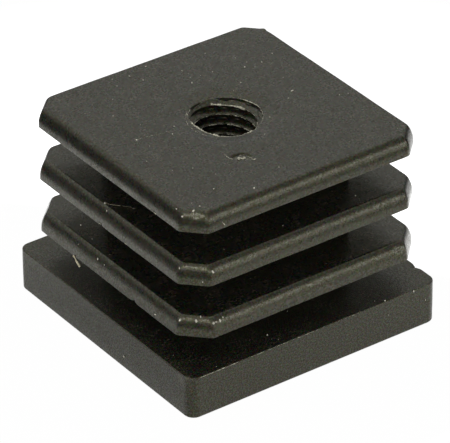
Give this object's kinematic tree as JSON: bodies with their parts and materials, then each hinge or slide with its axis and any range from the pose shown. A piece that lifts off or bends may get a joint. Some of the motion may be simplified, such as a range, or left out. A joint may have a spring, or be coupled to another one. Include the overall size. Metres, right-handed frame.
{
  "type": "tube end cap",
  "caption": "Square plastic end cap for a square tube, with flexible gripping ribs round a square core and a threaded hole through its centre.",
  "frame": {"origin": "centre of the head's flat outer face, on the axis of the threaded hole", "axes": "+Z along the threaded hole, from the head towards the tip that goes into the tube; X and Y along the sides of the square"},
  "size_m": [0.04, 0.04, 0.029],
  "materials": {
    "moulded_plastic": "satin moulded black, with a fine spark texture on the head"
  },
  "bodies": {
    "root": {"tube_end_cap": "moulded_plastic"}
  },
  "joints": []
}
